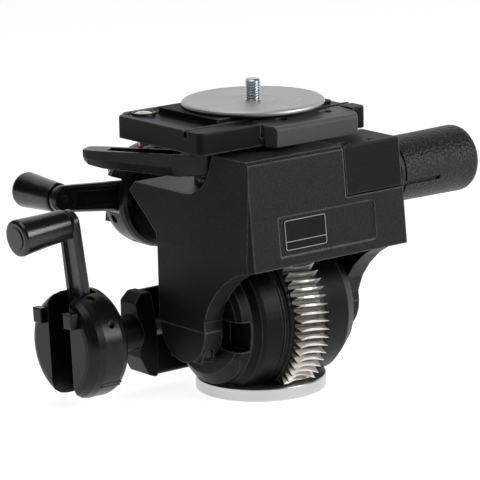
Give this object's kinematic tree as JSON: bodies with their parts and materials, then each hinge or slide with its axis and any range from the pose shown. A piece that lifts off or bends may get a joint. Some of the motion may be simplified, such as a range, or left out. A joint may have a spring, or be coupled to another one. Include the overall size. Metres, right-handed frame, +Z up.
{
  "type": "geared tripod head",
  "caption": "Geared tripod head: round base, worm-driven pan and forward tilt with fold-out cranks, quick-release platform with clamp lever, camera plate and threaded stud.",
  "frame": {"origin": "centre of the threaded hole in the round base, on its underside, on the pan axis", "axes": "+Z up along the pan axis; X along the tilt axis; -Y is the front, towards which the head tilts; the quick release lever and the pan crank are on the -X side"},
  "size_m": [0.2738, 0.2039, 0.187],
  "materials": {
    "casting": "black textured paint on a light alloy casting",
    "platform_metal": "black paint, fine texture",
    "bare_aluminium": "satin, turned",
    "gear_steel": "cut teeth, lightly oiled",
    "stud_chrome": "bright plated thread",
    "screw_steel": "blackened steel",
    "crank_plastic": "black moulded plastic, satin",
    "grip_rubber": "black rubber with fine grain",
    "lever_plastic": "black moulded plastic",
    "brass_pin": "bare brass",
    "level_fluid": "yellow-green level",
    "pin_steel": "ground steel"
  },
  "bodies": {
    "base_unit": {"base_disc": "bare_aluminium", "pan_worm_wheel": "gear_steel", "pan_wheel_bolt": "screw_steel"},
    "pan_unit": {"pan_housing": "casting", "tilt_gear": "gear_steel", "left_axle": "pin_steel", "right_axle": "pin_steel"},
    "tilt_unit": {"tilt_body": "casting", "left_bearing_cap": "casting", "right_bearing_cap": "casting", "bearing_screws": "screw_steel", "grip_block": "casting", "grip_block_screws": "screw_steel", "side_grip": "grip_rubber", "grip_core": "pin_steel", "platform_neck": "casting", "platform": "platform_metal", "bubble_ring": "platform_metal", "bubble_vial": "level_fluid", "lever_pin": "screw_steel"},
    "lever_unit": {"release_lever": "lever_plastic"},
    "jaw_unit": {"clamp_jaw": "platform_metal", "jaw_screws": "screw_steel"},
    "safety_unit": {"safety_pin": "brass_pin"},
    "plate_unit": {"camera_plate": "platform_metal", "camera_disc": "bare_aluminium", "camera_stud": "stud_chrome"},
    "pan_crank_unit": {"pan_worm": "pin_steel", "pan_crank": "crank_plastic", "pan_clips": "lever_plastic", "pan_set_screw": "brass_pin", "pan_fold_pin": "pin_steel"},
    "pan_arm_unit": {"pan_arm": "crank_plastic", "pan_spindle": "pin_steel"},
    "pan_grip_unit": {"pan_grip": "crank_plastic", "pan_grip_cap": "lever_plastic"},
    "tilt_crank_unit": {"tilt_worm": "pin_steel", "tilt_crank": "crank_plastic", "tilt_clips": "lever_plastic", "tilt_set_screw": "brass_pin", "tilt_fold_pin": "pin_steel"},
    "tilt_arm_unit": {"tilt_arm": "crank_plastic", "tilt_spindle": "pin_steel"},
    "tilt_grip_unit": {"tilt_grip": "crank_plastic", "tilt_grip_cap": "lever_plastic"}
  },
  "joints": [
    {"name": "pan", "type": "hinge", "parent": "base_unit", "child": "pan_unit", "pos_m": [0, 0, 0], "axis": [0, 0, 1], "continuous": true},
    {"name": "tilt", "type": "hinge", "parent": "pan_unit", "child": "tilt_unit", "pos_m": [0, 0, 0.046], "axis": [1, 0, 0], "range_deg": [-30, 90]},
    {"name": "pan_crank_turn", "type": "hinge", "parent": "pan_unit", "child": "pan_crank_unit", "pos_m": [-0.097, 0.03, 0.04], "axis": [1, 0, 0], "continuous": true},
    {"name": "tilt_crank_turn", "type": "hinge", "parent": "tilt_unit", "child": "tilt_crank_unit", "pos_m": [0, 0.0886, 0.102], "axis": [0, 1, 0], "range_deg": [-5760, 1920]},
    {"name": "pan_arm_fold", "type": "hinge", "parent": "pan_crank_unit", "child": "pan_arm_unit", "pos_m": [-0.108, 0.03075, 0.05438], "axis": [0, -0.9986, 0.0523], "range_deg": [-5, 175]},
    {"name": "tilt_arm_fold", "type": "hinge", "parent": "tilt_crank_unit", "child": "tilt_arm_unit", "pos_m": [-0.01432, 0.0996, 0.1035], "axis": [-0.1045, 0, -0.9945], "range_deg": [0, 180]},
    {"name": "pan_grip_spin", "type": "hinge", "parent": "pan_arm_unit", "child": "pan_grip_unit", "pos_m": [-0.12298, 0.03371, 0.11081], "axis": [-0.9962, -0.0046, -0.087], "continuous": true},
    {"name": "tilt_grip_spin", "type": "hinge", "parent": "tilt_arm_unit", "child": "tilt_grip_unit", "pos_m": [-0.07161, 0.1096, 0.10953], "axis": [0, 1, 0], "continuous": true},
    {"name": "lever_turn", "type": "hinge", "parent": "tilt_unit", "child": "lever_unit", "pos_m": [-0.047, -0.012, 0.15], "axis": [0, 0, 1], "range_deg": [0, 60]},
    {"name": "jaw_slide", "type": "slide", "parent": "tilt_unit", "child": "jaw_unit", "axis": [0, -1, 0], "range_m": [0, 0.0026]},
    {"name": "safety_press", "type": "slide", "parent": "tilt_unit", "child": "safety_unit", "axis": [0, 0, 1], "range_m": [0, 0.003], "stiffness_N_per_m": 400, "springref_m": -0.001},
    {"name": "plate_slide", "type": "slide", "parent": "tilt_unit", "child": "plate_unit", "axis": [1, 0, 0], "range_m": [0, 0.02]}
  ],
  "couplings": [
    {"joint": "pan_crank_turn", "follows": "pan", "ratio": -32},
    {"joint": "tilt_crank_turn", "follows": "tilt", "ratio": -64},
    {"joint": "jaw_slide", "follows": "lever_turn", "m_per_rad": 0.0023873}
  ]
}
